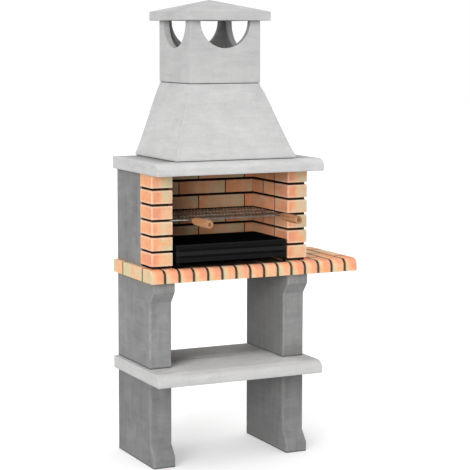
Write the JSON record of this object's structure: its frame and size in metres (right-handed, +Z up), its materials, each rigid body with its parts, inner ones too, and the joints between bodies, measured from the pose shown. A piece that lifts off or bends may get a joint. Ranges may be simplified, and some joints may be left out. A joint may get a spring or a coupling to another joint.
{
  "type": "outdoor masonry barbecue",
  "caption": "Free-standing garden barbecue of precast concrete and firebrick with a side worktop, firebox, sliding cooking grate, fire pan, hood and chimney.",
  "frame": {"origin": "centre of the object's bounding box on the floor plane at its base", "axes": "+Z up, -Y towards the cook at the front, +X to the right along the worktop"},
  "size_m": [1.001, 0.659, 2.017],
  "materials": {
    "grey_concrete": "matte",
    "light_concrete": "matte",
    "firebrick": "matte",
    "dark_mortar": "matte",
    "brown_mortar": "matte",
    "black_sheet_steel": "satin",
    "zinc_wire": "satin",
    "turned_wood": "satin"
  },
  "bodies": {
    "masonry": {"left_foot": "grey_concrete", "right_foot": "grey_concrete", "left_upper_leg": "grey_concrete", "right_upper_leg": "grey_concrete", "shelf_slab": "light_concrete", "mantel_slab": "light_concrete", "left_side_panel": "grey_concrete", "right_side_panel": "grey_concrete", "back_panel": "grey_concrete", "worktop_nose_bricks": "firebrick", "worktop_field_bricks": "firebrick", "worktop_strip_mortar": "dark_mortar", "worktop_cross_mortar": "brown_mortar", "left_pier_bricks": "firebrick", "right_pier_bricks": "firebrick", "left_lining_bricks": "firebrick", "right_lining_bricks": "firebrick", "back_lining_bricks": "firebrick", "left_bed_mortar": "dark_mortar", "right_bed_mortar": "dark_mortar", "back_bed_mortar": "dark_mortar", "lining_cross_mortar": "brown_mortar", "hood_mortar": "dark_mortar", "hood": "light_concrete", "chimney_mortar": "dark_mortar", "chimney": "light_concrete", "chimney_cap": "light_concrete"},
    "fire_pan": {"fire_pan_tray": "black_sheet_steel", "fire_pan_feet": "black_sheet_steel"},
    "cooking_grate": {"grate_frame": "zinc_wire", "grate_cross_rods": "zinc_wire", "grate_wires": "zinc_wire", "handle_shanks": "zinc_wire", "left_handle": "turned_wood", "right_handle": "turned_wood", "handle_washers": "zinc_wire"}
  },
  "joints": [
    {"name": "fire_pan_slide", "type": "slide", "parent": "masonry", "child": "fire_pan", "axis": [0, -1, 0], "range_m": [0, 0.43]},
    {"name": "cooking_grate_slide", "type": "slide", "parent": "masonry", "child": "cooking_grate", "axis": [0, -1, 0], "range_m": [0, 0.46]}
  ]
}
